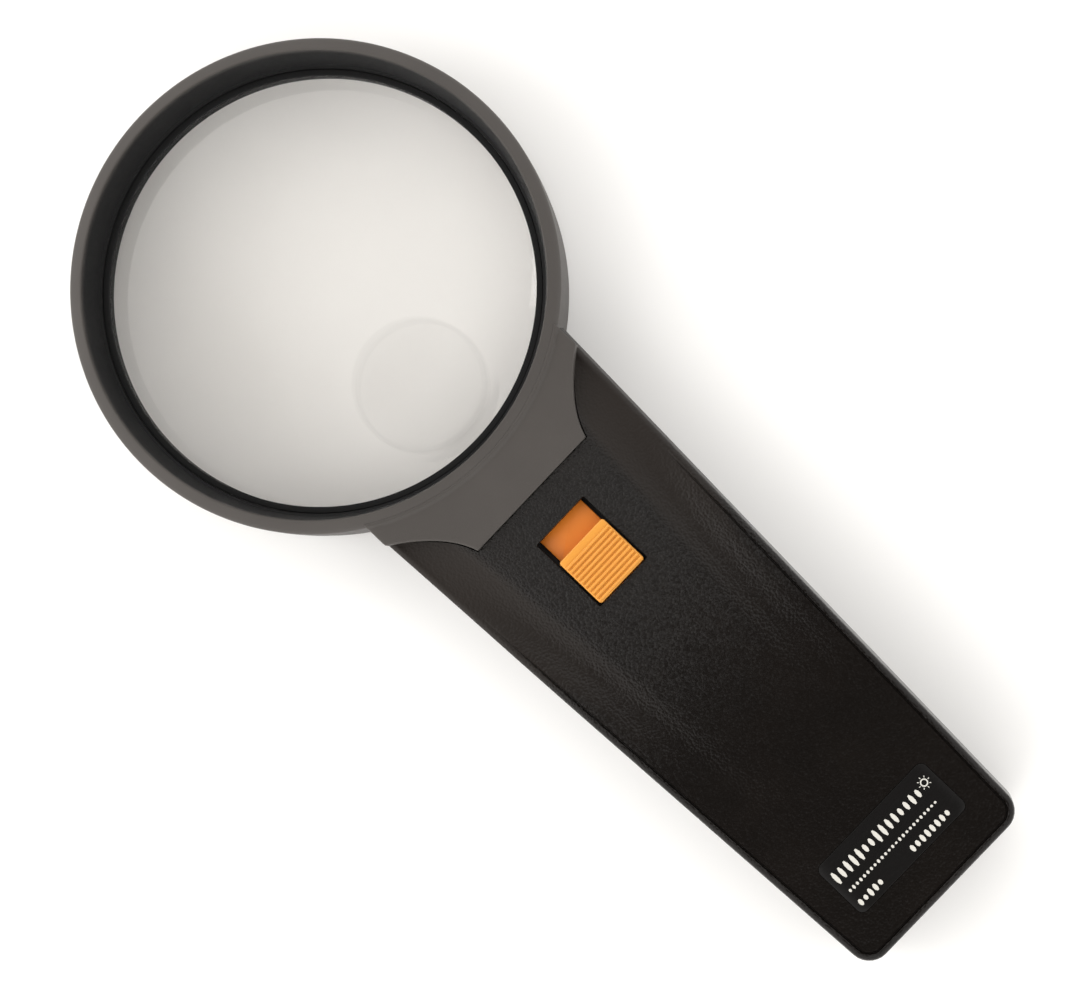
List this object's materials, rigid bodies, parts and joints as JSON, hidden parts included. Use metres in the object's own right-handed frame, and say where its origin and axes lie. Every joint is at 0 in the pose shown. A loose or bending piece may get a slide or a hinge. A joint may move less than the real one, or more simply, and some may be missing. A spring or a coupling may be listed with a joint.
{
  "type": "low vision magnifier",
  "caption": "Battery-lit round hand magnifier with a strong spot in its lens, a tapering black handle, an orange slide switch and a sliding battery cover.",
  "frame": {"origin": "centre of the bounding box on the plane that the magnifier lies on, back down", "axes": "+Y along the handle from the tail to the lens, +X to the right seen from the front with the lens up, +Z out of the front face toward the user"},
  "size_m": [0.0992, 0.2214, 0.023],
  "materials": {
    "grey_plastic": "satin moulded, fine grain",
    "lens_clear": "polished clear acrylic",
    "window_clear": "frosted clear acrylic",
    "white_plastic": "glossy reflector white",
    "bulb_clear": "thin clear lamp glass",
    "filament_wire": "drawn wire",
    "brass": "rolled thread brass",
    "solder": "dull solder",
    "holder_plastic": "natural moulded",
    "black_plastic": "fine leather grain, semi-gloss",
    "orange_plastic": "semi-gloss moulded",
    "contact_metal": "plated spring strip",
    "guide_plastic": "plain moulded",
    "spring_wire": "nickel plated wire",
    "cell_jacket": "plain printed jacket",
    "screw_steel": "zinc plated",
    "label_film": "printed film, off-white marks"
  },
  "bodies": {
    "case": {"lens_frame": "grey_plastic", "lens": "lens_clear", "retaining_ring": "grey_plastic", "light_window": "window_clear", "reflector": "white_plastic", "bulb_glass": "bulb_clear", "bulb_filament": "filament_wire", "bulb_base": "brass", "bulb_tip": "solder", "bulb_socket": "brass", "bulb_holder": "holder_plastic", "front_shell": "black_plastic", "rear_shell": "black_plastic", "switch_plate": "guide_plastic", "lamp_strip": "contact_metal", "positive_strip": "contact_metal", "return_strip": "contact_metal", "head_spring": "spring_wire", "tail_spring": "spring_wire", "series_bridge": "contact_metal", "left_cell": "cell_jacket", "right_cell": "cell_jacket", "case_screws": "screw_steel", "label_plate": "label_film"},
    "switch": {"switch_slider": "orange_plastic", "switch_contact": "contact_metal"},
    "door": {"battery_door": "black_plastic"}
  },
  "joints": [
    {"name": "switch_slide", "type": "slide", "parent": "case", "child": "switch", "axis": [0, 1, 0], "range_m": [0, 0.0054]},
    {"name": "door_slide", "type": "slide", "parent": "case", "child": "door", "axis": [0, -1, 0], "range_m": [0, 0.064]}
  ]
}
